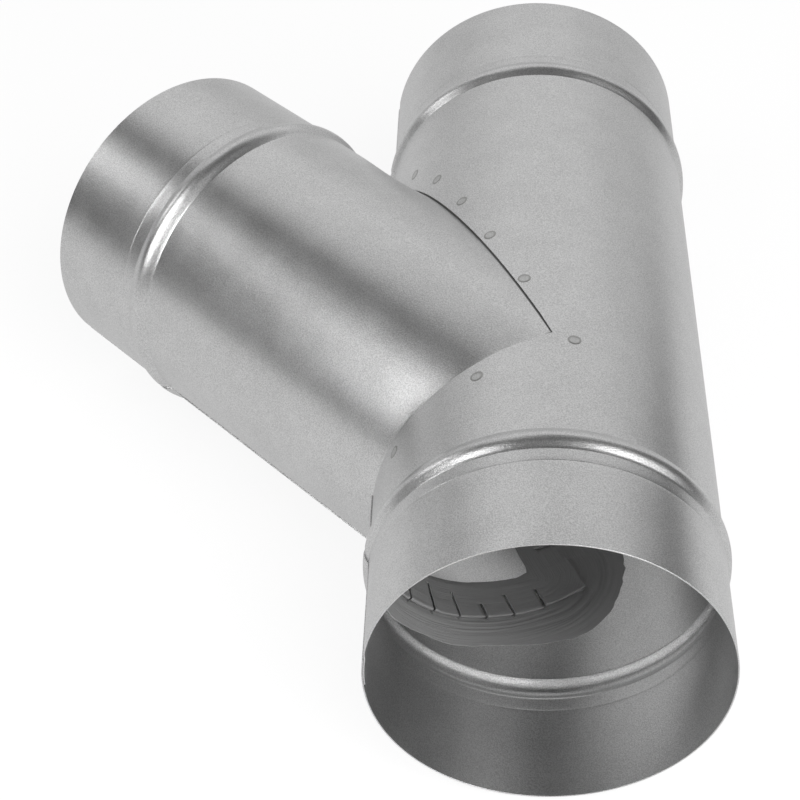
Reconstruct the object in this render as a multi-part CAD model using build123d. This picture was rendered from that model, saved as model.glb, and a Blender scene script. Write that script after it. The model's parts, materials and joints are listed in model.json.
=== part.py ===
from build123d import *
import math
import os

# Lateral wye fitting for round ventilation duct, made of galvanised steel sheet.
# The run is a straight tube along +Y, and the branch leaves it towards -X and +Y.
# The origin is the centre of the run's front mouth. All sizes are in millimetres.

# Duct and sheet
duct_bore = 125.0
duct_play = 0.5
sheet = 0.5

# Run and branch, measured along their axes
run_length = 336.0
joint_at = 105.0
branch_angle = 45.0
branch_length = 217.0
nesting_gap = 0.1

# Stop beads, each placed by the distance from its own mouth to its crest
bead_width = 11.2
bead_height = 2.0
bead_root = 1.2
bead_blend = 2.0
front_bead_at = 49.2
rear_bead_at = 55.0
branch_bead_at = 52.0

# Lap seams, where each rolled sheet closes on itself
lap_width = 12.0
lap_joggle = 4.0
collar_lap_proud = 0.0
run_seam_angle = 180.0
branch_seam_angle = 140.0

# Tabs folded out against the inside of the run, and the slits between them
tab_length = 15.6
tab_pitch = 12.0
first_slit = 3.0
slit_root = 4.0
slit_width = 0.8
slit_overrun = 1.0

# Spot welds through the run and the tabs
spot_diameter = 4.2
spot_depth = 0.12
spot_inset = 6.0
throat_spot_start = 25.0
throat_spot_pitch = 29.0
heel_spot_start = 29.0
heel_spot_pitch = 38.0

# Brushed duct sealant over the tabs
sealant_thickness = 0.5
sealant_reach = 26.0
sealant_corner = 22.0
sealant_inside = 4.0
sealant_end_gap = 1.0

# Sizes that follow from the ones above
collar_radius = duct_bore / 2 - duct_play
crest_radius = collar_radius + bead_height
run_inner = collar_radius - sheet
branch_radius = run_inner - nesting_gap
branch_inner = branch_radius - sheet
body_lap_proud = sheet
sealant_inner = branch_inner - sealant_thickness
half_angle = math.radians(branch_angle / 2)
throat_depth = collar_radius / math.tan(half_angle)
bead_reach = bead_width / 2 + bead_blend
outside = crest_radius + sheet
far = run_length + branch_length

# The joint seen from above. The throat lies behind the branch and the heel in front of it,
# in two vertical planes that meet at the crossing of the axes. Each plane has the way it
# runs from there and the way that leads out of the branch.
corner = Vector(0, joint_at, 0)
throat_way = Vector(-math.sin(half_angle), math.cos(half_angle), 0)
throat_out = Vector(math.cos(half_angle), math.sin(half_angle), 0)
heel_way = Vector(-math.cos(half_angle), -math.sin(half_angle), 0)
heel_out = Vector(math.sin(half_angle), -math.cos(half_angle), 0)

# A tube is rolled along +Z, with +Y as its underside, and then laid down
lay_run = Rot(X=-90)
lay_branch = Pos(0, joint_at, 0) * Rot(Z=branch_angle) * lay_run


# Cross-section of a rolled tube with its lap seam
def polar(radius, angle):
    turn = math.radians(angle)
    return (radius * math.cos(turn), radius * math.sin(turn))


def face_edge(radius_a, angle_a, radius_b, angle_b):
    if math.isclose(radius_a, radius_b):
        middle = polar(radius_a, (angle_a + angle_b) / 2)
        return ThreePointArc(polar(radius_a, angle_a), middle, polar(radius_a, angle_b))
    return Line(polar(radius_a, angle_a), polar(radius_b, angle_b))


def face_loop(radius, step_radius, lap_radius, inner_end, outer_end, step_angle):
    # One face of the sheet all the way round: plain, over the lap, and back down
    shift = math.degrees(lap_joggle / radius)
    rise = inner_end - shift
    fall = outer_end + shift
    rise_radius = lap_radius if step_angle == outer_end else step_radius
    fall_radius = lap_radius if step_angle == inner_end else step_radius
    edges = [
        face_edge(radius, fall - 360, radius, rise),
        face_edge(radius, rise, rise_radius, inner_end),
        face_edge(lap_radius, inner_end, lap_radius, outer_end),
        face_edge(fall_radius, outer_end, radius, fall),
        Line(polar(lap_radius, step_angle), polar(step_radius, step_angle)),
    ]
    return make_face(edges)


def lap_section(radius, seam_angle, proud):
    # The layer that comes up from below ends on top of the other one, which dips in under
    # it by as much of a sheet as the upper layer doesn't stand proud of the tube
    half_lap = math.degrees(lap_width / radius / 2)
    inner_end = seam_angle - half_lap
    outer_end = seam_angle + half_lap
    top = radius + proud
    middle = top - sheet
    bottom = middle - sheet
    outer_face = face_loop(radius, middle, top, inner_end, outer_end, outer_end)
    inner_face = face_loop(radius - sheet, middle, bottom, inner_end, outer_end, inner_end)
    return outer_face - inner_face


def plain_length(start, end, radius, seam_angle, proud):
    return Pos(0, 0, start) * extrude(lap_section(radius, seam_angle, proud), end - start)


# Stop bead: a rounded rib rolled outwards, with a small root radius on each side
def bead_line(crest_at, radius_before, radius_after, shift):
    # One face of the sheet across the bead. The shift moves it out from the outer face.
    centre_distance = ((bead_width / 2) ** 2 / bead_height + bead_height) / 2
    crest_arc = centre_distance - bead_root
    hub = crest_radius - crest_arc
    ratio = (crest_arc + shift) / centre_distance
    edges = []
    joins = []
    for side, radius in ((-1, radius_before), (1, radius_after)):
        rise = radius + bead_root - hub
        along = side * math.sqrt(centre_distance**2 - rise**2)
        end = (radius + shift, 0, crest_at + side * bead_reach)
        flat = (radius + shift, 0, crest_at + along)
        join = (hub + rise * ratio, 0, crest_at + along * ratio)
        edges.append(Line(end, flat))
        edges.append(TangentArc(flat, join, tangent=(0, 0, -side)))
        joins.append(join)
    edges.append(ThreePointArc(joins[0], (crest_radius + shift, 0, crest_at), joins[1]))
    return edges


def bead_section(crest_at, radius_before, radius_after, shift_out, shift_in):
    edges = bead_line(crest_at, radius_before, radius_after, shift_out)
    edges += bead_line(crest_at, radius_before, radius_after, shift_in)
    for side, radius in ((-1, radius_before), (1, radius_after)):
        end = crest_at + side * bead_reach
        edges.append(Line((radius + shift_out, 0, end), (radius + shift_in, 0, end)))
    return make_face(edges)


def bead_ring(crest_at, radius_before, radius_after, seam_angle):
    # The bead crosses the seam, where it is two sheets thick
    half_lap = math.degrees(lap_width / collar_radius / 2)
    single = bead_section(crest_at, radius_before, radius_after, 0, -sheet)
    doubled = bead_section(
        crest_at, radius_before, radius_after, collar_lap_proud, collar_lap_proud - 2 * sheet
    )
    strip = Rot(Z=seam_angle - half_lap) * revolve(doubled, Axis.Z, 2 * half_lap)
    return revolve(single, Axis.Z) + strip


# Tools that are cut straight down through the joint
def plan_zone(offset, corner_radius=0.0):
    # Everything between the throat and heel planes, with both planes moved out
    start = corner + (throat_out + heel_out) * offset
    outline = Polyline(
        start,
        start + heel_way * far,
        start + (heel_way + throat_way) * far,
        start + throat_way * far,
        close=True,
    )
    face = make_face(outline)
    if corner_radius > 0:
        face = fillet(face.vertices().sort_by_distance(start)[0], corner_radius)
    return extrude(face, outside, both=True)


def edge_places(way, first, pitch):
    # Walks along a cut edge, a quarter of an ellipse, from the corner to the side of the run.
    # Keeps the distance from the corner, as seen from above, each time that a pitch is walked.
    steps = 360
    step_turn = math.pi / 2 / steps
    stretch = 1 / abs(way.X)
    places = []
    walked = 0.0
    goal = first
    for step in range(steps):
        turn = (step + 0.5) * step_turn
        walked += branch_radius * math.hypot(stretch * math.cos(turn), math.sin(turn)) * step_turn
        if walked > goal:
            places.append(branch_radius * stretch * math.sin(turn))
            goal += pitch
    return places


def slit_tools():
    length = tab_length + slit_overrun - slit_root
    tools = []
    for way, out in ((throat_way, throat_out), (heel_way, heel_out)):
        turn = math.degrees(math.atan2(out.Y, out.X))
        for place in edge_places(way, first_slit, tab_pitch):
            spot = corner + way * place + out * (slit_root + length / 2)
            tools.append(Pos(spot) * Rot(Z=turn) * Box(length, slit_width, 2 * outside))
    return tools


def spot_tools():
    ball = ((spot_diameter / 2) ** 2 + spot_depth**2) / (2 * spot_depth)
    places = [corner + (throat_out + heel_out) * spot_inset]
    for place in edge_places(throat_way, throat_spot_start, throat_spot_pitch):
        places.append(corner + throat_way * place + throat_out * spot_inset)
    for place in edge_places(heel_way, heel_spot_start, heel_spot_pitch):
        places.append(corner + heel_way * place + heel_out * spot_inset)
    tools = []
    for place in places:
        for side in (-1, 1):
            height = side * math.sqrt(collar_radius**2 - place.X**2)
            scale = (collar_radius + ball - spot_depth) / collar_radius
            tools.append(Pos(place.X * scale, place.Y, height * scale) * Sphere(ball))
    return tools


def run_sleeve(outer, inner, start, end):
    # A plain sleeve inside the run
    sleeve = Cylinder(outer, end - start) - Cylinder(inner, end - start)
    return lay_run * Pos(0, 0, (start + end) / 2) * sleeve


# Run: a rolled tube with two stop beads, cut open for the branch
def make_run():
    rear_crest = run_length - rear_bead_at
    seam = run_seam_angle
    tube = plain_length(0, front_bead_at - bead_reach, collar_radius, seam, collar_lap_proud)
    tube += bead_ring(front_bead_at, collar_radius, collar_radius, seam)
    tube += plain_length(
        front_bead_at + bead_reach, rear_crest - bead_reach, collar_radius, seam, body_lap_proud
    )
    tube += bead_ring(rear_crest, collar_radius, collar_radius, seam)
    tube += plain_length(
        rear_crest + bead_reach, run_length, collar_radius, seam, collar_lap_proud
    )
    return lay_run * tube - plan_zone(0) - spot_tools()


# Branch: a rolled tube whose end is mitred to the run and folded out into tabs
def make_branch():
    crest = branch_length - branch_bead_at
    seam = branch_seam_angle
    tube = plain_length(-bead_reach, crest - bead_reach, branch_radius, seam, body_lap_proud)
    tube += bead_ring(crest, branch_radius, collar_radius, seam)
    tube += plain_length(crest + bead_reach, branch_length, collar_radius, seam, collar_lap_proud)
    branch = lay_branch * tube & plan_zone(0)
    last_tab = joint_at + throat_depth + tab_length
    flange = run_sleeve(branch_radius, branch_inner, 0, last_tab) & plan_zone(tab_length)
    flange = flange - plan_zone(0) - slit_tools()
    return branch + flange


# Sealant: a brushed coat over the tabs, the joint and the wall just round it
def make_sealant(branch):
    start = front_bead_at + bead_reach + sealant_end_gap
    end = run_length - rear_bead_at - bead_reach - sealant_end_gap
    coat = run_sleeve(run_inner, sealant_inner, start, end)
    coat = coat & plan_zone(sealant_reach, sealant_corner)
    lining = Cylinder(branch_inner, branch_length) - Cylinder(sealant_inner, branch_length)
    lining = lay_branch * Pos(0, 0, branch_length / 2) * lining & plan_zone(0)
    coat = coat - plan_zone(0) + (lining - plan_zone(-sealant_inside))
    return coat - branch - slit_tools()


run_tube = make_run()
branch_tube = make_branch()
joint_sealant = make_sealant(branch_tube)

os.makedirs("parts", exist_ok=True)
export_step(run_tube, "parts/run_tube.step")
export_step(branch_tube, "parts/branch_tube.step")
export_step(joint_sealant, "parts/joint_sealant.step")
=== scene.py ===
import math
import bpy
import numpy as np
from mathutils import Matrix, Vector
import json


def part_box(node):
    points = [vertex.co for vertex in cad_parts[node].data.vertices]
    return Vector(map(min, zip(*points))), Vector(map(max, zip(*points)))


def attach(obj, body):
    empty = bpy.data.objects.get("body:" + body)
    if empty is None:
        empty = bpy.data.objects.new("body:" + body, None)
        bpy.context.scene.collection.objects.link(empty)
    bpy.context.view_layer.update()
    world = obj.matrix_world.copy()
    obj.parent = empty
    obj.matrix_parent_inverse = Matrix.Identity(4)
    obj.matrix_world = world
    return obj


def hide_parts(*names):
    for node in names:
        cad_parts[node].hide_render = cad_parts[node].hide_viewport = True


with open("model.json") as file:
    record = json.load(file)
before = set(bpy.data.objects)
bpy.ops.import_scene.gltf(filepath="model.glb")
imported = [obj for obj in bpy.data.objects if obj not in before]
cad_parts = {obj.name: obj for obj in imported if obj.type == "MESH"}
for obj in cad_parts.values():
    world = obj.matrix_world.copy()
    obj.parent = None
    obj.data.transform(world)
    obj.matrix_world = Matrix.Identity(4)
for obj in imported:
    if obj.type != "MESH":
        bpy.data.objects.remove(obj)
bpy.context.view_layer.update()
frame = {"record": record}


# Run tube
# One strip of galvanised steel sheet, 0.5 mm thick, rolled to a round tube and closed by a lap
# seam on the branch's side. Two stop beads were rolled into it, and a V-shaped hole was cut for
# the branch. Lengths are in millimetres, and a tube's angles in degrees from its top.
mm = 0.001
sheet = 0.5
mounts = {mount["name"]: mount for mount in frame["record"]["mounts"]}
collar_radius = mounts["run_front"]["dims"]["r_mm"]
run_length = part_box("run_tube")[1].y / mm
branch_mouth = np.array(mounts["branch_mouth"]["pos_m"]) / mm
branch_axis = np.array(mounts["branch_mouth"]["axis"])
branch_length = branch_mouth[0] / branch_axis[0]
joint_at = branch_mouth[1] - branch_length * branch_axis[1]
joint = np.array([0.0, joint_at, 0.0])
half_angle = math.atan2(-branch_axis[0], branch_axis[1]) / 2

bead_width = 11.2
bead_height = 1.96
bead_foot = 5.2
bead_slope = 0.55
bead_rounding = 0.8
roller_line_at = 10.5
roller_line_depth = 0.07
roller_line_width = 0.22
shoulder_rise = 0.13
shoulder_blend = 0.06
bead_reach = 12.0
bead_fade = 4.0
front_bead_at = mounts["run_front"]["dims"]["length_mm"] + bead_width / 2
rear_bead_at = run_length - mounts["run_rear"]["dims"]["length_mm"] - bead_width / 2

lap_width = 12.0
lap_joggle = 4.0
lap_clearance = 0.03
run_seam_angle = -90.0
edge_gap = 0.3


def smooth_step(value):
    """Rises from 0 to 1 as the value does: three times its square, less twice its cube."""
    value = np.clip(value, 0, 1)
    return value * value * (3 - 2 * value)


def smaller(first, second, rounding):
    """The smaller of two values, with the corner where they meet rounded off."""
    return (first + second - np.sqrt((first - second) ** 2 + rounding**2)) / 2


def bead_rise(outward):
    """Height of a stop bead at a distance from its middle, positive towards the mouth: the
    smaller of two straight walls' and a flat crest's, then the larger of that and the shoulder.
    The shoulder is a band that rises a little from the rollers' edge up to the bead, and the
    edge itself is a fine groove."""
    walls = smaller((bead_foot - np.abs(outward)) * bead_slope, bead_height, bead_rounding)
    walls = walls * bead_height / smaller(bead_foot * bead_slope, bead_height, bead_rounding)
    away = np.clip(outward - bead_foot, 0, None) / (roller_line_at - bead_foot)
    shoulder = shoulder_rise * (1 - away) * smooth_step((outward + 2) / 3) * (away < 1)
    groove = roller_line_depth * np.exp(-(((outward - roller_line_at) / roller_line_width) ** 2))
    fade = smooth_step((bead_reach - np.abs(outward)) / bead_fade)
    return -smaller(-walls, -shoulder, shoulder_blend) * fade - groove


def lap_offset(turn, proud):
    """How far the sheet stands off the round tube, where turn is the angle rolled from its outer
    edge. The outer layer stands proud and then steps down, and the inner end dips under it by
    the rest of the sheet. Both steps are smooth."""
    lap = math.degrees(lap_width / collar_radius)
    joggle = math.degrees(lap_joggle / collar_radius)
    outer = (proud + lap_clearance) * (1 - smooth_step((turn - lap) / joggle))
    inner = (sheet - proud + lap_clearance) * smooth_step((turn - 360 + joggle) / joggle)
    return outer - inner


def spaced(stops, step):
    """Values from the first stop to the last, at most a step apart, that include each stop."""
    runs = [
        np.linspace(a, b, max(1, math.ceil((b - a) / step - 1e-6)), endpoint=False)
        for a, b in zip(stops[:-1], stops[1:])
    ]
    return np.append(np.concatenate(runs), stops[-1])


def rolled_turns(seam_angle, step):
    """The columns of a rolled strip, as angles turned from its outer edge: close together in the
    two steps of the lap, with one on each end of the plane that holds both tubes' axes."""
    lap = math.degrees(lap_width / collar_radius)
    joggle = math.degrees(lap_joggle / collar_radius)
    first = seam_angle + lap / 2
    middle = sorted([first % 180, first % 180 + 180])
    wide = spaced([lap + joggle, *middle, 360 - joggle], step)
    step_out = spaced([lap, lap + joggle], joggle / 5)
    step_in = spaced([360 - joggle, 360], joggle / 5)
    ends = spaced([0, lap], step), spaced([360, 360 + lap], step)
    return np.unique(np.concatenate([ends[0], step_out, wide, step_in, ends[1]]).round(6))


def grid_faces(columns, rows, first=0):
    """Quads of a grid whose points are stored column by column."""
    start = first + (np.arange(columns - 1)[:, None] * rows + np.arange(rows - 1)).ravel()
    return np.stack([start, start + 1, start + rows + 1, start + rows], axis=1)


def welded(points, faces):
    """Joins the points that lie within 0.001 mm of each other, and drops faces of no area."""
    _, kept, where = np.unique(points.round(3), axis=0, return_index=True, return_inverse=True)
    faces = where.ravel()[faces]
    turned = np.roll(faces, -1, axis=1)
    count = 4 - (faces == turned).sum(axis=1)
    across = (faces[:, 0] == faces[:, 2]) | (faces[:, 1] == faces[:, 3])
    return points[kept], kept, faces[(count > 2) & ~across]


def sheet_mesh(name, points, faces, arcs, layers=None):
    """A mesh of a thin sheet, with a UV map that holds the arc round the tube and the length
    along it, both in metres, and with a named attribute for each further value of its points."""
    mesh = bpy.data.meshes.new(name)
    points, kept, faces = welded(points, faces)
    corners = [list(dict.fromkeys(face)) for face in faces.tolist()]
    mesh.from_pydata((points * mm).tolist(), [], corners)
    uv = mesh.uv_layers.new(name="strip")
    loops = np.zeros(len(mesh.loops), int)
    mesh.loops.foreach_get("vertex_index", loops)
    uv.data.foreach_set("uv", (arcs[kept][loops] * mm).ravel())
    for layer, values in (layers or {}).items():
        attribute = mesh.attributes.new(layer, "FLOAT", "POINT")
        attribute.data.foreach_set("value", values[kept])
    mesh.shade_smooth()
    return mesh


def finish_sheet(mesh, material, body, node, thickness=sheet, edge=0.07):
    """Puts a sheet mesh in the scene: gives it its wall inwards, breaks its cut edges if it has
    hard ones, and lets it ride on its body in place of its CAD node."""
    piece = bpy.data.objects.new(mesh.name, mesh)
    bpy.context.scene.collection.objects.link(piece)
    wall = piece.modifiers.new("wall", "SOLIDIFY")
    wall.thickness = thickness * mm
    wall.offset = -1
    wall.use_even_offset = edge > 0
    if edge > 0:
        rounding = piece.modifiers.new("broken edges", "BEVEL")
        rounding.width = edge * mm
        rounding.segments = 1
        rounding.limit_method = "ANGLE"
        rounding.angle_limit = math.radians(65)
        rounding.harden_normals = True
    mesh.materials.append(material)
    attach(piece, body)
    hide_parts(node)
    return piece


def throat_line(across):
    """Where the hole's throat edge lies along the run, from the distance to its middle plane."""
    return joint_at + across / math.tan(half_angle)


def heel_line(across):
    """The same for the hole's heel edge."""
    return joint_at - across * math.tan(half_angle)


def bead_rows():
    """Rows across a bead, as distances from its crest towards the mouth: close together at its
    crest, at its roots and at the rollers' edge."""
    close = [spaced([a, b], step) for a, b, step in (
        (-8.0, -6.1, 1.9), (-6.1, -4.9, 0.2), (-4.9, -3.0, 0.95), (-3.0, -1.0, 0.34),
        (-1.0, 1.0, 0.5), (1.0, 3.0, 0.34), (3.0, 4.9, 0.95), (4.9, 6.1, 0.2), (6.1, 10.1, 2.0),
        (10.1, 10.9, 0.16), (10.9, bead_reach, 1.1),
    )]
    return np.unique(np.concatenate(close).round(4))


def run_rows():
    """The rows of the run's strip: fixed ones at the mouths and beads, and between them the
    shares by which the stretches up to the hole are filled."""
    bead = bead_rows()
    plain_front = spaced([0, front_bead_at - bead_reach - 0.01], 5)[:-1]
    plain_rear = spaced([rear_bead_at + bead_reach + 0.01, run_length], 5)[1:]
    front = np.concatenate([plain_front, front_bead_at - bead[::-1]])
    rear = np.concatenate([rear_bead_at + bead, plain_rear])
    return front, rear, np.linspace(0, 1, 14)[1:], np.linspace(0, 1, 40)[:-1]


def run_strip():
    """The run's sheet as a flat strip: the angle turned from its outer edge, and the length
    along the tube. The rows part along the hole, on the branch's side alone."""
    turns = rolled_turns(run_seam_angle, 1.8)
    first = run_seam_angle + math.degrees(lap_width / collar_radius) / 2
    across = np.maximum(-collar_radius * np.sin(np.radians(first - turns)), 0)
    gap = edge_gap * smooth_step(across / 4) * (1 - 0.5 * smooth_step((across - 15) / 25))
    gap = gap + edge_gap * smooth_step((across - 54) / 8)
    heel = heel_line(across) - gap / math.cos(half_angle)
    throat = throat_line(across) + gap / math.sin(half_angle)
    front, rear, fill_front, fill_rear = run_rows()
    before = front[-1] + (heel - front[-1])[:, None] * fill_front
    after = throat[:, None] + (rear[0] - throat)[:, None] * fill_rear
    fixed_front = np.broadcast_to(front, (len(turns), len(front)))
    fixed_rear = np.broadcast_to(rear, (len(turns), len(rear)))
    along = np.concatenate([fixed_front, before, after, fixed_rear], axis=1)
    turn = np.broadcast_to(turns[:, None], along.shape)
    points = np.stack([turn.ravel(), along.ravel(), np.zeros(along.size)], axis=1)
    faces = grid_faces(*along.shape)
    split = len(front) + len(fill_front) - 1
    return points, faces[faces[:, 0] % along.shape[1] != split]


def run_skin(turn, along):
    """Outer face of the run: a round tube plus its beads and lap."""
    first = run_seam_angle + math.degrees(lap_width / collar_radius) / 2
    body = smooth_step((along - front_bead_at - 6) / 5) * smooth_step((rear_bead_at - 6 - along) / 5)
    radius = collar_radius + bead_rise(front_bead_at - along) + bead_rise(along - rear_bead_at)
    radius = radius + lap_offset(turn, sheet * body)
    angle = np.radians(first - turn)
    return np.stack([radius * np.sin(angle), along, radius * np.cos(angle)], axis=1)


def hex_colour(code):
    """Linear colour of an sRGB hex value."""
    parts = [int(code[i:i + 2], 16) / 255 for i in (1, 3, 5)]
    return [p / 12.92 if p <= 0.04045 else ((p + 0.055) / 1.055) ** 2.4 for p in parts] + [1.0]


def add_node(tree, kind, settings=None, values=None, links=None):
    """Adds a node of a kind, with its settings, the values of its inputs and what feeds them."""
    node = tree.nodes.new("ShaderNode" + kind)
    for name, value in (settings or {}).items():
        setattr(node, name, value)
    for name, value in (values or {}).items():
        node.inputs[name].default_value = value
    for name, source in (links or {}).items():
        tree.links.new(source, node.inputs[name])
    return node


def galvanised_sheet(name, light, dark, stain_and_shade_colour):
    """Hot-dip galvanised steel sheet without spangle, satin, as it comes from the mill. The eye
    sees a light grey metal with a fine grain that sparkles where the reflections change, and soft
    clouds of duller zinc. A third colour is mixed in where the mesh asks for it: on the run, burnt
    zinc at a spot weld; on the branch, painted shade on the fold in the throat's gap."""
    material = bpy.data.materials.new(name)
    material.use_nodes = True
    tree = material.node_tree
    shader = tree.nodes["Principled BSDF"]
    shader.inputs["Metallic"].default_value = 1.0
    place = add_node(tree, "TexCoord")
    stain = add_node(tree, "Attribute", settings={"attribute_name": "stain"})
    grain = add_node(
        tree, "TexNoise",
        values={"Scale": 1 / (0.45 * mm), "Detail": 1.0, "Roughness": 0.5},
        links={"Vector": place.outputs["Object"]},
    )
    clouds = add_node(
        tree, "TexNoise",
        values={"Scale": 1 / (14 * mm), "Detail": 4.0, "Roughness": 0.6},
        links={"Vector": place.outputs["Object"]},
    )
    cloudy = add_node(
        tree, "MapRange",
        values={"From Min": 0.3, "From Max": 0.7, "To Min": 0.0, "To Max": 0.3},
        links={"Value": clouds.outputs["Fac"]},
    )
    grainy = add_node(
        tree, "MapRange",
        values={"From Min": 0.3, "From Max": 0.7, "To Min": -0.3, "To Max": 1.0},
        links={"Value": grain.outputs["Fac"]},
    )
    tone = add_node(
        tree, "Math", settings={"operation": "ADD", "use_clamp": True},
        links={0: cloudy.outputs["Result"], 1: grainy.outputs["Result"]},
    )
    zinc = add_node(
        tree, "Mix", settings={"data_type": "RGBA"},
        links={"Factor": tone.outputs["Value"]},
    )
    zinc.inputs["A"].default_value = hex_colour(dark)
    zinc.inputs["B"].default_value = hex_colour(light)
    colour = add_node(
        tree, "Mix", settings={"data_type": "RGBA"},
        links={"Factor": stain.outputs["Fac"], "A": zinc.outputs["Result"]},
    )
    colour.inputs["B"].default_value = hex_colour(stain_and_shade_colour)
    dull = add_node(
        tree, "MapRange",
        values={"From Min": 0.3, "From Max": 0.7, "To Min": 0.275, "To Max": 0.3},
        links={"Value": clouds.outputs["Fac"]},
    )
    grained = add_node(
        tree, "Bump",
        values={"Strength": 1.0, "Distance": 0.065 * mm},
        links={"Height": grain.outputs["Fac"]},
    )
    tree.links.new(colour.outputs["Result"], shader.inputs["Base Color"])
    tree.links.new(dull.outputs["Result"], shader.inputs["Roughness"])
    tree.links.new(grained.outputs["Normal"], shader.inputs["Normal"])
    return material


spot_size = 4.2
spot_proud = 0.012
spot_rim = 0.11
spot_rim_at = 0.92
spot_rim_width = 0.16
spot_sunk = 0.06
spot_stain = 0.35
throat_spots = {57.0: 11.5, 43.5: 14.5, 31.7: 13.0, 20.6: 9.7, 8.8: 8.7}
heel_spots = {25.0: -7.4, 61.0: -7.0}
corner_spot = (-7.0, -3.5)


def spot_marks():
    """The spot welds' marks as round patches: a shallow dish with a low rim, whose outer edge
    dips just under the sheet's face. Throat and heel spots are given by their angle from the top
    and their distance past the hole's edge along the run. The same ones hold it at the bottom."""
    centres = []
    for spots, line in ((throat_spots, throat_line), (heel_spots, heel_line)):
        for angle, past in spots.items():
            across = collar_radius * math.sin(math.radians(angle))
            centres.append((angle, line(across) + past))
    centres.append((corner_spot[0], joint_at + corner_spot[1]))
    centres = np.array(centres)
    centres = np.concatenate([centres, centres * [-1, 1] + [180, 0]])
    share = np.array([0.0, 0.3, 0.55, 0.75, 0.88, 1.0, 1.12, 1.3])
    turned = np.linspace(0, 2 * math.pi, 25)
    rim = np.exp(-(((share - spot_rim_at) / spot_rim_width) ** 2))
    height = spot_proud + spot_rim * rim - spot_sunk * smooth_step((share - 1.05) / 0.2)
    flat = spot_size / 2 * share
    first = run_seam_angle + math.degrees(lap_width / collar_radius) / 2
    around = np.degrees(flat * np.sin(turned)[:, None] / collar_radius)
    angle = -np.radians(centres[:, 0][:, None, None] + around)
    along = centres[:, 1][:, None, None] + flat * np.cos(turned)[:, None]
    radius = collar_radius + height
    points = np.stack([radius * np.sin(angle), along, radius * np.cos(angle)], axis=3)
    arcs = np.stack([np.radians(first - np.degrees(angle)) * collar_radius, along], axis=3)
    block = len(turned) * len(share)
    faces = np.concatenate([
        grid_faces(len(turned), len(share), number * block) for number in range(len(centres))
    ])
    ring = np.exp(-(((share - 1.0) / spot_rim_width) ** 2))
    burnt = spot_stain + (1 - spot_stain) * ring - spot_stain * smooth_step((share - 1.1) / 0.2)
    burnt = np.tile(burnt, len(centres) * len(turned))
    return points.reshape(-1, 3), faces, arcs.reshape(-1, 2), burnt


strip_points, strip_faces = run_strip()
spot_points, spot_faces, spot_arcs, spot_burnt = spot_marks()
run_mesh = sheet_mesh(
    "run_tube_sheet",
    np.concatenate([run_skin(strip_points[:, 0], strip_points[:, 1]), spot_points]),
    np.concatenate([strip_faces, spot_faces + len(strip_points)]),
    np.concatenate([strip_points[:, :2] * [math.radians(collar_radius), 1], spot_arcs]),
    {"stain": np.concatenate([np.zeros(len(strip_points)), spot_burnt])},
)
run_zinc = galvanised_sheet("galvanised_run_sheet", "#EAEAEA", "#CACACA", "#A3A3A1")
finish_sheet(run_mesh, run_zinc, "root", "run_tube")


# Branch tube
# A second strip of the same sheet, rolled, lapped and beaded in the same way. Its inner end was
# pushed through the hole in the run, slit into tabs and folded out against the run's inside.
nesting_gap = 0.1
branch_seam_angle = -130.0
branch_radius = collar_radius - sheet - nesting_gap
branch_bead_at = branch_length - mounts["branch_mouth"]["dims"]["length_mm"] - bead_width / 2
fold_radius = 1.2
tab_length = 15.6
tab_pitch = 12.0
first_slit = 3.0
slit_root = 4.0
slit_width = 0.8
corner_lift = 1.5
dent_angle = 52.0
dent_at = 126.0
dent_depth = 0.9
dent_half_turn = 17.0
dent_half_length = 15.0
# Reach either side of the mitre over which the fold at the throat is darkened: painted shade for the
# gap under the run's edge.
gap_shade_reach = 2.0
branch_side = np.array([branch_axis[1], -branch_axis[0], 0.0])
upwards = np.array([0.0, 0.0, 1.0])


def branch_start(angle):
    """Where the branch's wall meets the mitre, as a length along the branch's axis: on the heel
    plane in front of the branch and on the throat plane behind it."""
    across = branch_radius * np.sin(np.radians(angle))
    return np.where(across < 0, -across * math.tan(half_angle), across / math.tan(half_angle))


def on_branch(radius, angle, along):
    """A point at a radius, an angle from the top and a length along the branch's axis."""
    turn = np.radians(angle)[..., None]
    out = branch_side * np.sin(turn) + upwards * np.cos(turn)
    return joint + branch_axis * along[..., None] + out * radius[..., None]


def fold_slope(side):
    """How steeply the fold leaves the joint on a side, -1 for the heel and 1 for the throat."""
    return math.tan(half_angle) if side < 0 else 1 / math.tan(half_angle)


def slit_places(side, seed):
    """Angles from the top at which a side's slits lie. The fold is walked from the joint, where
    it crosses the top or the bottom, to the middle of the side, by adding up short steps."""
    turn = np.linspace(0, math.pi / 2, 400)
    step = branch_radius * np.hypot(1, fold_slope(side) * np.cos(turn))
    walked = np.concatenate([[0], np.cumsum((step[1:] + step[:-1]) / 2 * np.diff(turn))])
    by_hand = np.random.default_rng(seed)
    places = []
    for lower in (False, True):
        goals = np.arange(first_slit, walked[-1] - tab_pitch / 2, tab_pitch)
        goals = goals + by_hand.uniform(-0.5, 0.5, len(goals))
        angles = np.degrees(np.interp(goals, walked, turn))
        places.append(180 - angles[::-1] if lower else angles)
    return np.concatenate([places[0], [90], places[1]])


def slit_half_turn(side, angle):
    """Half a slit's width, as an angle round the tube."""
    step = branch_radius * np.hypot(1, fold_slope(side) * np.cos(np.radians(angle)))
    return np.degrees(slit_width / 2 / step)


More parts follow.
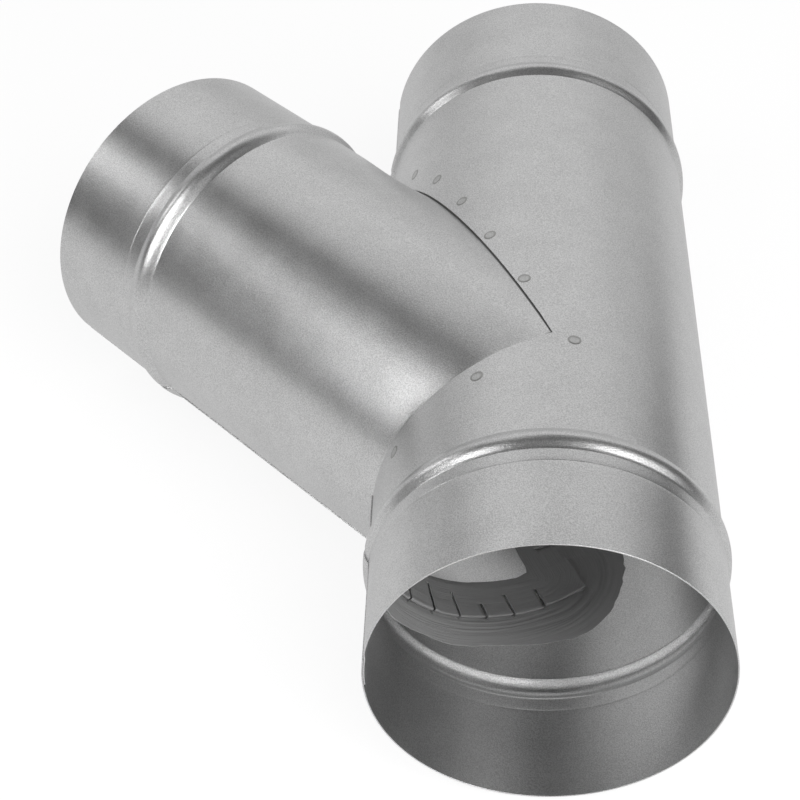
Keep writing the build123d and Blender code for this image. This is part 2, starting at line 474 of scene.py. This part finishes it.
def joint_columns(stretches, fan_steps):
    """Columns that follow the fold round the joint. Each stretch is a side and its angles from
    the top. Where two stretches meet, at the crossing of heel and throat, a fan turns a quarter
    of a circle. Gives each column's side, angle, way out over the unrolled run, and the share
    of the quarter turn that a fan has made there."""
    columns = []
    outs = [np.arctan2(side, -fold_slope(side) * np.cos(np.radians(a))) for side, a in stretches]
    for place, (side, angle) in enumerate(stretches):
        columns.append([np.full(len(angle), side), angle, outs[place], np.zeros(len(angle))])
        follows = outs[(place + 1) % len(stretches)][0]
        if place + 1 < len(stretches) or abs(angle[-1] - stretches[0][1][0]) < 1e-6:
            share = np.linspace(0, 1, fan_steps)
            way = outs[place][-1] + (follows - outs[place][-1]) % (2 * math.pi) * share
            columns.append([np.full(fan_steps, side), np.full(fan_steps, angle[-1]), way, share])
    return np.concatenate(columns, axis=1)


def over_joint(side, angle, way, reach, depth):
    """A point of the folded joint. Reach is its distance from the mitre, below 0 up the branch's
    wall and above 0 out over the run's inside, and depth how far it lies in from the back of the
    sheet. The fold between is a quadratic curve with its control point on the mitre."""
    turn = np.radians(angle)
    radius = branch_radius - depth
    slope = np.where(side < 0, fold_slope(-1), fold_slope(1))
    across = radius * np.sin(turn)
    mitre_along = joint_at + side * across * slope
    up_wall = across * slope + np.maximum(-reach, fold_radius)
    wall = on_branch(radius, side * angle + 0 * reach, up_wall)
    over = np.maximum(reach, fold_radius)
    far_turn = turn + np.cos(way) * over / branch_radius
    far_along = mitre_along + np.sin(way) * over
    face = np.stack([-radius * np.sin(far_turn), far_along, radius * np.cos(far_turn)], axis=-1)
    mitre = np.stack([-across, mitre_along, radius * np.cos(turn) + 0 * reach], axis=-1)
    share = np.clip((reach + fold_radius) / (2 * fold_radius), 0, 1)[..., None]
    return (1 - share) ** 2 * wall + 2 * share * (1 - share) * mitre + share**2 * face


def tab_lift(side, angle, reach):
    """How far a tab stands off the run's wall: nothing up to the slits' roots, and then more
    towards its tip, by a share of its own, and a little askew. The tab at the joint lifts most."""
    lift = np.zeros(np.broadcast(angle, reach).shape)
    for each in (-1, 1):
        places = slits[each]
        number = np.searchsorted(places, angle)
        by_hand = np.random.default_rng(11 + each)
        height = by_hand.uniform(0.35, 0.85, len(places) + 1)
        askew = by_hand.uniform(-0.25, 0.25, len(places) + 1)
        height[0] = height[-1] = corner_lift
        askew[0] = askew[-1] = 0
        ends = np.concatenate([[0], places, [180]])
        share = (angle - ends[number]) / (ends[number + 1] - ends[number]) - 0.5
        bend = (np.clip(reach - slit_root, 0, None) / (tab_length - slit_root)) ** 1.3
        lift = np.where(side == each, (height[number] + askew[number] * share) * bend, lift)
    return lift


def tab_tip(fan):
    """Length of the tabs. The tab at each crossing of heel and throat has a square corner."""
    turned = fan * math.pi / 2
    return tab_length / np.maximum(np.cos(turned), np.sin(turned))


def branch_turns():
    """Columns of the branch's strip: the rolled ones, and the two edges of each slit."""
    first = branch_seam_angle + math.degrees(lap_width / collar_radius) / 2
    edges = []
    for side, places in slits.items():
        half = slit_half_turn(side, places)
        for edge in (places - half, places + half):
            edges.append((first - side * edge) % 360)
    edges = np.concatenate(edges)
    lap = math.degrees(lap_width / collar_radius)
    doubled = edges[edges < lap] + 360
    turns = np.concatenate([rolled_turns(branch_seam_angle, 2.0), edges, doubled])
    return np.unique(turns.round(6))


def branch_wall(turns):
    """The branch's rolled wall, from the fold at the mitre to its mouth."""
    first = branch_seam_angle + math.degrees(lap_width / collar_radius) / 2
    angle = first - turns
    start = branch_start(angle) + fold_radius
    bead = branch_bead_at + bead_rows()
    plain = spaced([branch_bead_at + bead_reach + 0.01, branch_length], 5)[1:]
    outer = np.concatenate([bead, plain])
    fill = np.linspace(0, 1, 31)[:-1]
    body = start[:, None] + (outer[0] - start)[:, None] * fill
    along = np.concatenate([body, np.broadcast_to(outer, (len(turns), len(outer)))], axis=1)
    turn = np.broadcast_to(turns[:, None], along.shape)
    angle = np.broadcast_to(angle[:, None], along.shape)
    collar = smooth_step((along - branch_bead_at + 6) / 12)
    proud = smooth_step((along - start[:, None]) / 8) * smooth_step((branch_bead_at - 6 - along) / 5)
    radius = branch_radius + (collar_radius - branch_radius) * collar
    radius = radius + bead_rise(along - branch_bead_at) + lap_offset(turn, sheet * proud)
    beside_dent = (angle - dent_angle + 180) % 360 - 180
    past_dent = along - dent_at
    dent = np.exp(-((beside_dent / dent_half_turn) ** 2) - (past_dent / dent_half_length) ** 2)
    radius = radius - dent_depth * dent * smooth_step((along - start[:, None]) / 8)
    points = on_branch(radius, angle, along).reshape(-1, 3)
    arcs = np.stack([np.radians(turn) * collar_radius, along], axis=2).reshape(-1, 2)
    return points, grid_faces(*along.shape), arcs


def branch_tabs(turns):
    """The fold and the tabs, in the same columns as the wall, from the tips to the wall's start.
    The faces between a slit's two edges are left out beyond its root. The last of the values is
    1 on the fold along the throat's gap, which is darkened there as painted shade, and 0 elsewhere."""
    first = branch_seam_angle + math.degrees(lap_width / collar_radius) / 2
    corners = [first % 180, first % 180 + 180]
    parts = [turns[turns <= corners[0] + 1e-6]]
    parts.append(turns[(turns >= corners[0] - 1e-6) & (turns <= corners[1] + 1e-6)])
    parts.append(turns[turns >= corners[1] - 1e-6])
    stretches = []
    for part in parts:
        angle = (first - part + 180) % 360 - 180
        side = -1 if angle[len(angle) // 2] < 0 else 1
        stretches.append((side, np.abs(angle).round(6)))
    side, angle, way, fan = joint_columns(stretches, 13)[:, :, None]
    turn = np.concatenate([
        parts[0], np.full(13, corners[0]), parts[1], np.full(13, corners[1]), parts[2],
    ])[:, None]
    tip = tab_tip(fan)
    share = np.linspace(1, 0, 6)
    reach = np.concatenate([
        slit_root + (tip - slit_root) * share,
        np.broadcast_to([2.4, 1.2, 0.6, 0.0, -0.6, -1.2], (len(tip), 6)),
    ], axis=1)
    depth = tab_lift(side, angle, reach) - lap_offset(turn, 0.0)
    points = over_joint(side, angle, way, reach, depth).reshape(-1, 3)
    faces = grid_faces(*reach.shape)
    columns = faces[:, 0] // reach.shape[1]
    cut = np.zeros(len(angle), bool)
    for each, places in slits.items():
        half = slit_half_turn(each, places)
        middle = (angle[:-1, 0] + angle[1:, 0]) / 2
        near = np.abs(middle[:, None] - places).argmin(axis=1)
        inside = np.abs(middle - places[near]) < half[near]
        cut[:-1] |= inside & (side[:-1, 0] == each) & (angle[:-1, 0] != angle[1:, 0])
    faces = faces[~(cut[columns] & (faces[:, 0] % reach.shape[1] < 5))]
    along = branch_start(side * angle) - reach
    arcs = np.stack([np.radians(turn) * collar_radius + 0 * reach, along], axis=2).reshape(-1, 2)
    # Painted shade: the fold at the throat, near the mitre, is darkened where the run's edge leaves
    # a shaded gap.
    gap_shade = (np.abs(reach) < gap_shade_reach) & (side > 0)
    return points, faces, arcs, gap_shade.ravel().astype(float)


slits = {-1: slit_places(-1, 5), 1: slit_places(1, 6)}
strip_turns = branch_turns()
wall_points, wall_faces, wall_arcs = branch_wall(strip_turns)
tab_points, tab_faces, tab_arcs, tab_gap_shade = branch_tabs(strip_turns)
branch_mesh = sheet_mesh(
    "branch_tube_sheet",
    np.concatenate([wall_points, tab_points]),
    np.concatenate([wall_faces, tab_faces + len(wall_points)]),
    np.concatenate([wall_arcs, tab_arcs]),
    {"stain": np.concatenate([np.zeros(len(wall_points)), tab_gap_shade])},
)
# The last colour here is painted shade, which darkens the fold in the throat's gap.
branch_zinc = galvanised_sheet("galvanised_branch_sheet", "#EAEAEA", "#CACACA", "#6A6A6A")
finish_sheet(branch_mesh, branch_zinc, "root", "branch_tube")


# Joint sealant
# Grey water-based duct sealant, brushed over the tabs and the fold from inside. It is thick and
# ridged by the bristles round the joint, thin at its ragged edge, and the slits show through.
coat_on_tabs = 0.22
coat_beyond = 0.34
coat_skin = 0.2
heel_reach = 27.5
throat_reach = 33.0
joint_reach = 37.0
lining_reach = 2.7
corner_lining = 1.8
ridge_height = 0.09
fine_ridge_height = 0.06
curl_height = 0.3
brush_lines = ((26.6, 0.2), (28.1, 0.26), (23.8, 0.12))
open_from = {-1: [3.0, 3.9, 8.5, 4.5, 5.0], 1: [5.4, 99.0]}


def value_noise(across, along, seed, cells):
    """Smooth noise from -1 to 1: random values on a square lattice, eased from each lattice
    point to the next both ways. The first way repeats after a number of cells."""
    table = np.random.default_rng(seed).uniform(-1, 1, (cells, 211))
    column = np.floor(across).astype(int)
    row = np.floor(along).astype(int)
    ease_column = smooth_step(across - column)
    ease_row = smooth_step(along - row)
    low = table[column % cells, row % 211] * (1 - ease_row)
    low = low + table[column % cells, (row + 1) % 211] * ease_row
    high = table[(column + 1) % cells, row % 211] * (1 - ease_row)
    high = high + table[(column + 1) % cells, (row + 1) % 211] * ease_row
    return low * (1 - ease_column) + high * ease_column


def coat_columns():
    """Columns of the coat, once round the joint: evenly spread, with each slit's edges."""
    stretches = []
    for side, count in ((-1, 100), (1, 176)):
        half = slit_half_turn(side, slits[side])
        edges = np.concatenate([slits[side] - half, slits[side] + half])
        even = np.degrees(np.linspace(0, math.pi, count))
        angles = np.unique(np.concatenate([even, edges]).round(6))
        stretches.append((side, angles if side < 0 else angles[::-1]))
    return joint_columns(stretches, 25)


def loop_walk(side, angle, way, reach):
    """Distance walked round the coat at a reach, from its first column, by short steps."""
    turn = np.radians(angle)
    slope = np.where(side < 0, fold_slope(-1), fold_slope(1))
    arc = branch_radius * turn + np.cos(way) * reach
    along = joint_at + side * branch_radius * np.sin(turn) * slope + np.sin(way) * reach
    return np.concatenate([[0], np.cumsum(np.hypot(np.diff(arc), np.diff(along)))])


def lap_rise(side, angle):
    """How much the branch's own lap lifts the coat: one sheet over the lap, eased at its ends."""
    away = np.abs(side * angle - branch_seam_angle) * math.radians(branch_radius)
    return sheet * smooth_step((lap_width / 2 + lap_joggle - away) / lap_joggle)


def coat_surface():
    """The coat's skin. Its columns go round the joint, and its rows lead out from the branch's
    wall over the fold and the tabs, down under their tips, and out over the run's wall. Gives
    the points, the faces, the loop's length and reach, and how thick the coat is, from 0 to 1."""
    side, angle, way, fan = coat_columns()
    walk = loop_walk(side, angle, way, 18.0)
    base_walk = loop_walk(side, angle, way, 0.0)
    lower = np.argmax(angle == 180.0)
    out_lap = (walk / walk[-1])[:, None]
    base_lap = (base_walk / base_walk[-1])[:, None]
    out_near = np.exp(-(((walk - walk[lower] - 14) / 36.0) ** 2))[:, None]
    base_near = np.exp(-(((base_walk - base_walk[lower]) / 24.0) ** 2))[:, None]
    past_joint = (base_walk - base_walk[lower])[:, None]
    side, angle, way, fan = side[:, None], angle[:, None], way[:, None], fan[:, None]
    throat_share = np.where(side < 0, fan, 1 - fan)
    filled = smooth_step((throat_share - 0.5) * 5)

    tip = tab_tip(fan)
    uneven = value_noise(out_lap * 44, 0 * out_lap, 22, 44)
    ragged = value_noise(out_lap * 420, 0 * out_lap, 21, 420)
    edge = heel_reach + (throat_reach - heel_reach) * smooth_step(throat_share)
    edge = edge + (joint_reach - edge) * out_near**2
    edge = edge + 1.2 * uneven + (0.2 + 0.8 * throat_share) * ragged
    torn = 0.15 + 0.7 * smooth_step(past_joint / 6 + 0.5)
    lining = lining_reach + 0.5 * value_noise(base_lap * 40, 0 * base_lap, 22, 40)
    lining = lining + torn * value_noise(base_lap * 300, 0 * base_lap, 28, 300)
    lining = lining + corner_lining * np.exp(-((past_joint / 4) ** 2))

    up_wall = -lining + (lining - fold_radius) * np.array([0.0, 0.05, 0.3, 0.65])
    fold = np.broadcast_to(np.linspace(-fold_radius, fold_radius, 5), (len(walk), 5))
    over_tab = fold_radius + (tip - fold_radius) * np.linspace(0, 1, 22)[1:]
    under = np.array([0.12, 0.1, -1.2, -2.0, -1.6]) * (1 - filled)
    under = under + np.linspace(0.02, 0.1, 5) * filled
    beyond = tip + (edge - tip) * np.append(np.linspace(0.01, 0.985, 42), 1.0)
    reach = np.concatenate([up_wall, fold, over_tab, tip + under, beyond], axis=1)
    first_under, first_beyond = 9 + 21, 9 + 21 + 5

    spread = np.clip((reach + fold_radius) / 18, 0, 1)
    lap = base_lap + (out_lap - base_lap) * spread
    near = base_near + (out_near - base_near) * spread
    waver = 1.5 * value_noise(lap * 18, reach / 9, 23, 18)
    streaks = value_noise(lap * 30, (reach + waver) / 0.8, 24, 30)
    ridges = streaks * (ridge_height + ridge_height * near)
    ridges = ridges + fine_ridge_height * value_noise(lap * 12, (reach + waver) / 0.45, 33, 12)
    lift = tab_lift(side, angle, np.minimum(reach, tip))
    curl = curl_height * near * np.exp(-(((reach - tip + 1.0) / 0.8) ** 2))
    curl = curl * (0.6 + value_noise(lap * 170, reach / 3, 26, 170))
    billow = 1 + 0.3 * value_noise(lap * 44, 0 * lap, 29, 44)
    on_tab = sheet + lift + lap_rise(side, angle) + coat_on_tabs * billow + ridges + curl
    taper = smooth_step((edge - reach) / (edge - tip) * 1.5)
    film = coat_beyond * taper * (0.35 + 0.65 * near) + ridges * (0.2 + 0.8 * taper)
    on_wall = np.maximum(film, 0.05) - nesting_gap
    for place, height in brush_lines:
        sway = 0.6 * value_noise(lap * 30, 0 * lap, 27, 30)
        line = np.exp(-(((reach - place - sway) / 0.3) ** 2))
        on_wall = on_wall + height * line * np.exp(-(((past_joint - 4) / 22.0) ** 2))

    depth = on_tab.copy()
    ramp = np.exp(-np.maximum(reach - tip, 0) / 2.0) * filled
    landing = on_wall + (on_tab - on_wall) * ramp
    below = np.maximum(lift - 0.05, on_wall)
    depth[:, first_beyond:] = landing[:, first_beyond:]
    cave = np.stack([
        on_tab[:, first_under] - 0.12,
        below[:, first_under + 1],
        below[:, first_under + 2],
        on_wall[:, first_under + 3],
        on_wall[:, first_under + 4],
    ], axis=1)
    steps = slice(first_under, first_beyond)
    depth[:, steps] = cave * (1 - filled) + landing[:, steps] * filled
    depth[:, 0] = sheet - 0.05 + lap_rise(side, angle)[:, 0]
    depth[:, -1] = -nesting_gap - 0.05
    thick = np.clip((depth + nesting_gap) / (coat_beyond + nesting_gap), 0, 1)
    thick[:, :first_beyond] = 1
    thick[:, 0] = 0.4

    points = over_joint(side, angle, way, reach, depth).reshape(-1, 3)
    faces = grid_faces(*reach.shape)
    column = faces[:, 0] // reach.shape[1]
    row = faces[:, 0] % reach.shape[1]
    middle = (angle[:-1, 0] + angle[1:, 0]) / 2
    opened = np.full(len(angle), 99.0)
    for each, places in slits.items():
        by_hand = np.random.default_rng(31 + each)
        starts = by_hand.uniform(4, 10, len(places))
        starts[by_hand.uniform(size=len(places)) < (0.1 if each < 0 else 0.5)] = 99.0
        starts[-len(open_from[each]):] = open_from[each]
        nearest = np.abs(middle[:, None] - places).argmin(axis=1)
        inside = np.abs(middle - places[nearest]) < slit_half_turn(each, places)[nearest]
        inside = inside & (side[:-1, 0] == each) & (angle[:-1, 0] != angle[1:, 0])
        opened[:-1] = np.where(inside, starts[nearest], opened[:-1])
    gone = (reach[column, row] > opened[column]) & (row < first_beyond)
    along_loop = np.stack([walk[:, None] + 0 * reach, reach], axis=2).reshape(-1, 2)
    return points, faces[~gone], along_loop, thick.ravel()


def brushed_sealant(name, thick_colour, thin_colour):
    """Cured water-based duct sealant: a grey filled polymer, matt to satin, brushed on. Bristles
    leave fine lines along each stroke, and the grey is lighter where the coat is thin."""
    material = bpy.data.materials.new(name)
    material.use_nodes = True
    tree = material.node_tree
    shader = tree.nodes["Principled BSDF"]
    shader.inputs["IOR"].default_value = 1.48
    place = add_node(tree, "TexCoord")
    thickness = add_node(tree, "Attribute", settings={"attribute_name": "thick"})
    stroke = add_node(
        tree, "Mapping",
        values={"Scale": (1 / (24 * mm), 1 / (0.55 * mm), 1.0)},
        links={"Vector": place.outputs["UV"]},
    )
    bristles = add_node(
        tree, "TexNoise",
        values={"Scale": 1.0, "Detail": 4.0, "Roughness": 0.6, "Distortion": 0.3},
        links={"Vector": stroke.outputs["Vector"]},
    )
    specks = add_node(
        tree, "TexNoise",
        values={"Scale": 1 / (1.2 * mm), "Detail": 3.0, "Roughness": 0.7},
        links={"Vector": place.outputs["Object"]},
    )
    shade = add_node(
        tree, "MapRange",
        values={"From Min": 0.3, "From Max": 0.7, "To Min": -0.12, "To Max": 0.12},
        links={"Value": bristles.outputs["Fac"]},
    )
    cover = add_node(
        tree, "Math", settings={"operation": "ADD", "use_clamp": True},
        links={0: thickness.outputs["Fac"], 1: shade.outputs["Result"]},
    )
    colour = add_node(
        tree, "Mix", settings={"data_type": "RGBA"},
        links={"Factor": cover.outputs["Value"]},
    )
    colour.inputs["A"].default_value = hex_colour(thin_colour)
    colour.inputs["B"].default_value = hex_colour(thick_colour)
    gloss = add_node(
        tree, "MapRange",
        values={"From Min": 0.3, "From Max": 0.7, "To Min": 0.36, "To Max": 0.52},
        links={"Value": specks.outputs["Fac"]},
    )
    lines = add_node(
        tree, "Bump",
        values={"Strength": 1.0, "Distance": 0.22 * mm},
        links={"Height": bristles.outputs["Fac"]},
    )
    tree.links.new(colour.outputs["Result"], shader.inputs["Base Color"])
    tree.links.new(gloss.outputs["Result"], shader.inputs["Roughness"])
    tree.links.new(lines.outputs["Normal"], shader.inputs["Normal"])
    return material


coat_points, coat_faces, coat_loop, coat_thick = coat_surface()
coat_mesh = sheet_mesh(
    "joint_sealant_coat", coat_points, coat_faces, coat_loop, {"thick": coat_thick},
)
grey_sealant = brushed_sealant("brushed_grey_sealant", "#707070", "#7E7E7E")
finish_sheet(coat_mesh, grey_sealant, "root", "joint_sealant", coat_skin, 0)


# Studio
# A white table with a pale backdrop, a large soft box on each side of the camera and grey walls,
# as bright metal is photographed. The walls aren't seen, and give the sheet its dark streaks.
floor_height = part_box("run_tube")[0].z


def stage_object(name, mesh, material):
    """A part of the studio, which isn't part of the object."""
    piece = bpy.data.objects.new(name, mesh)
    bpy.context.scene.collection.objects.link(piece)
    mesh.materials.append(material)
    return piece


def table_paper():
    """White paper sweep. To the camera it shows as plain white, a little darker where the object
    shades it, and in reflections as the paler grey of paper that no lamp lights evenly. Otherwise
    it is a matt white surface."""
    material = bpy.data.materials.new("white_table_paper")
    material.use_nodes = True
    tree = material.node_tree
    tree.nodes.clear()
    rays = add_node(tree, "LightPath")
    direct = add_node(
        tree, "Math", settings={"operation": "MAXIMUM"},
        links={0: rays.outputs["Is Camera Ray"], 1: rays.outputs["Is Glossy Ray"]},
    )
    seen = add_node(
        tree, "Math", settings={"operation": "MAXIMUM"},
        links={0: direct.outputs["Value"], 1: rays.outputs["Is Transmission Ray"]},
    )
    share = add_node(
        tree, "Math", settings={"operation": "MULTIPLY"},
        values={1: 0.85}, links={0: seen.outputs["Value"]},
    )
    matt = add_node(tree, "BsdfDiffuse", values={"Color": hex_colour("#F7F7F7")})
    bright = add_node(
        tree, "Math", settings={"operation": "MULTIPLY_ADD"},
        values={1: -0.4, 2: 1.0}, links={0: rays.outputs["Is Glossy Ray"]},
    )
    white = add_node(
        tree, "Emission",
        values={"Color": (1, 1, 1, 1)}, links={"Strength": bright.outputs["Value"]},
    )
    both = add_node(
        tree, "MixShader",
        links={0: share.outputs["Value"], 1: matt.outputs["BSDF"], 2: white.outputs["Emission"]},
    )
    output = add_node(tree, "OutputMaterial", links={"Surface": both.outputs["Shader"]})
    output.is_active_output = True
    return material


def wall_paint():
    """Matt grey walls: each point shows as an even grey of its own level from 0 to 1."""
    material = bpy.data.materials.new("grey_wall_paint")
    material.use_nodes = True
    tree = material.node_tree
    tree.nodes.clear()
    level = add_node(tree, "Attribute", settings={"attribute_name": "level"})
    grey = add_node(
        tree, "Emission", values={"Color": (1, 1, 1, 1)}, links={"Strength": level.outputs["Fac"]},
    )
    add_node(tree, "OutputMaterial", links={"Surface": grey.outputs["Emission"]})
    return material


def soft_window(value, low, high, edge=5.0):
    """1 between two values and 0 outside them, eased over an edge centred on each."""
    return smooth_step((value - low) / edge + 0.5) * smooth_step((high - value) / edge + 0.5)


def wall_levels(azimuth, elevation):
    """How light the studio's walls are, in each direction from the joint in degrees: azimuth 0
    is +Y and 90 is +X. Each panel is painted over the ones before it, with soft edges."""
    panels = {
        "walls and ceiling": (0.1, (-190, 190), (-10, 99)),
        "backdrop": (0.72, (-45, 33), (22, 55)),
        "right edge of the backdrop": (0.72, (33, 45), (12, 48)),
        "left top of the backdrop": (0.58, (-45, -15), (55, 65)),
        "foot of the backdrop": (0.55, (-45, 42), (-10, 22)),
        "left corner": (0.5, (-60, -45), (-10, 15)),
        "left window": (2.2, (-75, -60), (15, 35)),
        "left reflector": (0.9, (-104, -90), (32, 62)),
        "right reflector": (1.5, (88, 120), (22, 62)),
    }
    level = np.zeros(np.broadcast(azimuth, elevation).shape)
    for light, azimuths, elevations in panels.values():
        cover = soft_window(azimuth, *azimuths) * soft_window(elevation, *elevations)
        level = level + (light - level) * cover
    return level


def studio_walls():
    """The walls as part of a sphere round the joint, with the level as an attribute."""
    wall_distance = 2.0
    around, upward = np.linspace(-180, 180, 145), np.linspace(-1.8, 90, 62)
    azimuth, elevation = np.meshgrid(around, upward, indexing="ij")
    turn, rise = np.radians(azimuth), np.radians(elevation)
    flat = wall_distance * np.cos(rise)
    points = np.stack([
        flat * np.sin(turn), joint_at * mm + flat * np.cos(turn), wall_distance * np.sin(rise),
    ], axis=2)
    mesh = bpy.data.meshes.new("studio_walls")
    mesh.from_pydata(points.reshape(-1, 3).tolist(), [], grid_faces(*azimuth.shape).tolist())
    level = mesh.attributes.new("level", "FLOAT", "POINT")
    level.data.foreach_set("value", wall_levels(azimuth, elevation).ravel())
    mesh.shade_smooth()
    walls = stage_object("studio_walls", mesh, wall_paint())
    walls.visible_camera = False
    walls.visible_diffuse = False
    walls.visible_shadow = False
    walls.visible_transmission = False


def soft_box(name, azimuth, elevation, width, height, level):
    """A soft box 1.2 m from the joint, in a direction given in degrees as for the walls, that
    faces it. Its size is in metres, and its level is the white that it shows as."""
    lamp = bpy.data.lights.new(name, "AREA")
    lamp.shape = "RECTANGLE"
    lamp.size = width
    lamp.size_y = height
    lamp.energy = level * math.pi * width * height
    turn, rise = math.radians(azimuth), math.radians(elevation)
    away = Vector((math.sin(turn) * math.cos(rise), math.cos(turn) * math.cos(rise), math.sin(rise)))
    piece = bpy.data.objects.new(name, lamp)
    turned = away.to_track_quat("Z", "Y").to_matrix().to_4x4()
    turned.translation = Vector((0, joint_at * mm, 0)) + away * 1.2
    piece.matrix_world = turned
    piece.visible_camera = False
    bpy.context.scene.collection.objects.link(piece)


table_size = 6.0
table_mesh = bpy.data.meshes.new("table")
table_corners = [(x, y, floor_height) for x, y in ((-1, -1), (1, -1), (1, 1), (-1, 1))]
table_points = [(x * table_size, y * table_size, z) for x, y, z in table_corners]
table_mesh.from_pydata(table_points, [], [(0, 1, 2, 3)])
stage_object("table", table_mesh, table_paper())
studio_walls()
soft_box("left_soft_box", -121.0, 35.0, 0.62, 0.87, 3.6)
soft_box("right_soft_box", 146.0, 30.0, 1.05, 1.42, 5.0)

world = bpy.data.worlds.new("white_studio")
world.use_nodes = True
bpy.context.scene.world = world
room = world.node_tree
room.nodes.clear()
room_rays = add_node(room, "LightPath")
room_direct = add_node(
    room, "Math", settings={"operation": "MAXIMUM"},
    links={0: room_rays.outputs["Is Camera Ray"], 1: room_rays.outputs["Is Glossy Ray"]},
)
room_seen = add_node(
    room, "Math", settings={"operation": "MAXIMUM"},
    links={0: room_direct.outputs["Value"], 1: room_rays.outputs["Is Transmission Ray"]},
)
room_soft = add_node(room, "Background", values={"Color": (1, 1, 1, 1), "Strength": 0.55})
room_white = add_node(room, "Background", values={"Color": (1, 1, 1, 1), "Strength": 1.0})
room_both = add_node(
    room, "MixShader",
    links={0: room_seen.outputs["Value"], 1: room_soft.outputs[0], 2: room_white.outputs[0]},
)
add_node(room, "OutputWorld", links={"Surface": room_both.outputs["Shader"]})


# Camera
# It looks down on the fitting from in front, a little to the left of the run.
camera_place = Vector((-36.06, -435.3, 491.5)) * mm
camera_aim = Vector((-54.2, 138.7, 0.0)) * mm
camera_roll = 0.38
camera = bpy.data.cameras.new("camera")
camera.sensor_width = 36.0
camera.lens = 88.81
camera.clip_end = 50.0
camera_object = bpy.data.objects.new("camera", camera)
look = (camera_aim - camera_place).to_track_quat("-Z", "Y").to_matrix().to_4x4()
look.translation = camera_place
camera_object.matrix_world = look
camera_object.rotation_euler.rotate_axis("Z", math.radians(camera_roll))
bpy.context.scene.collection.objects.link(camera_object)
bpy.context.scene.camera = camera_object
bpy.context.scene.view_settings.view_transform = "Standard"
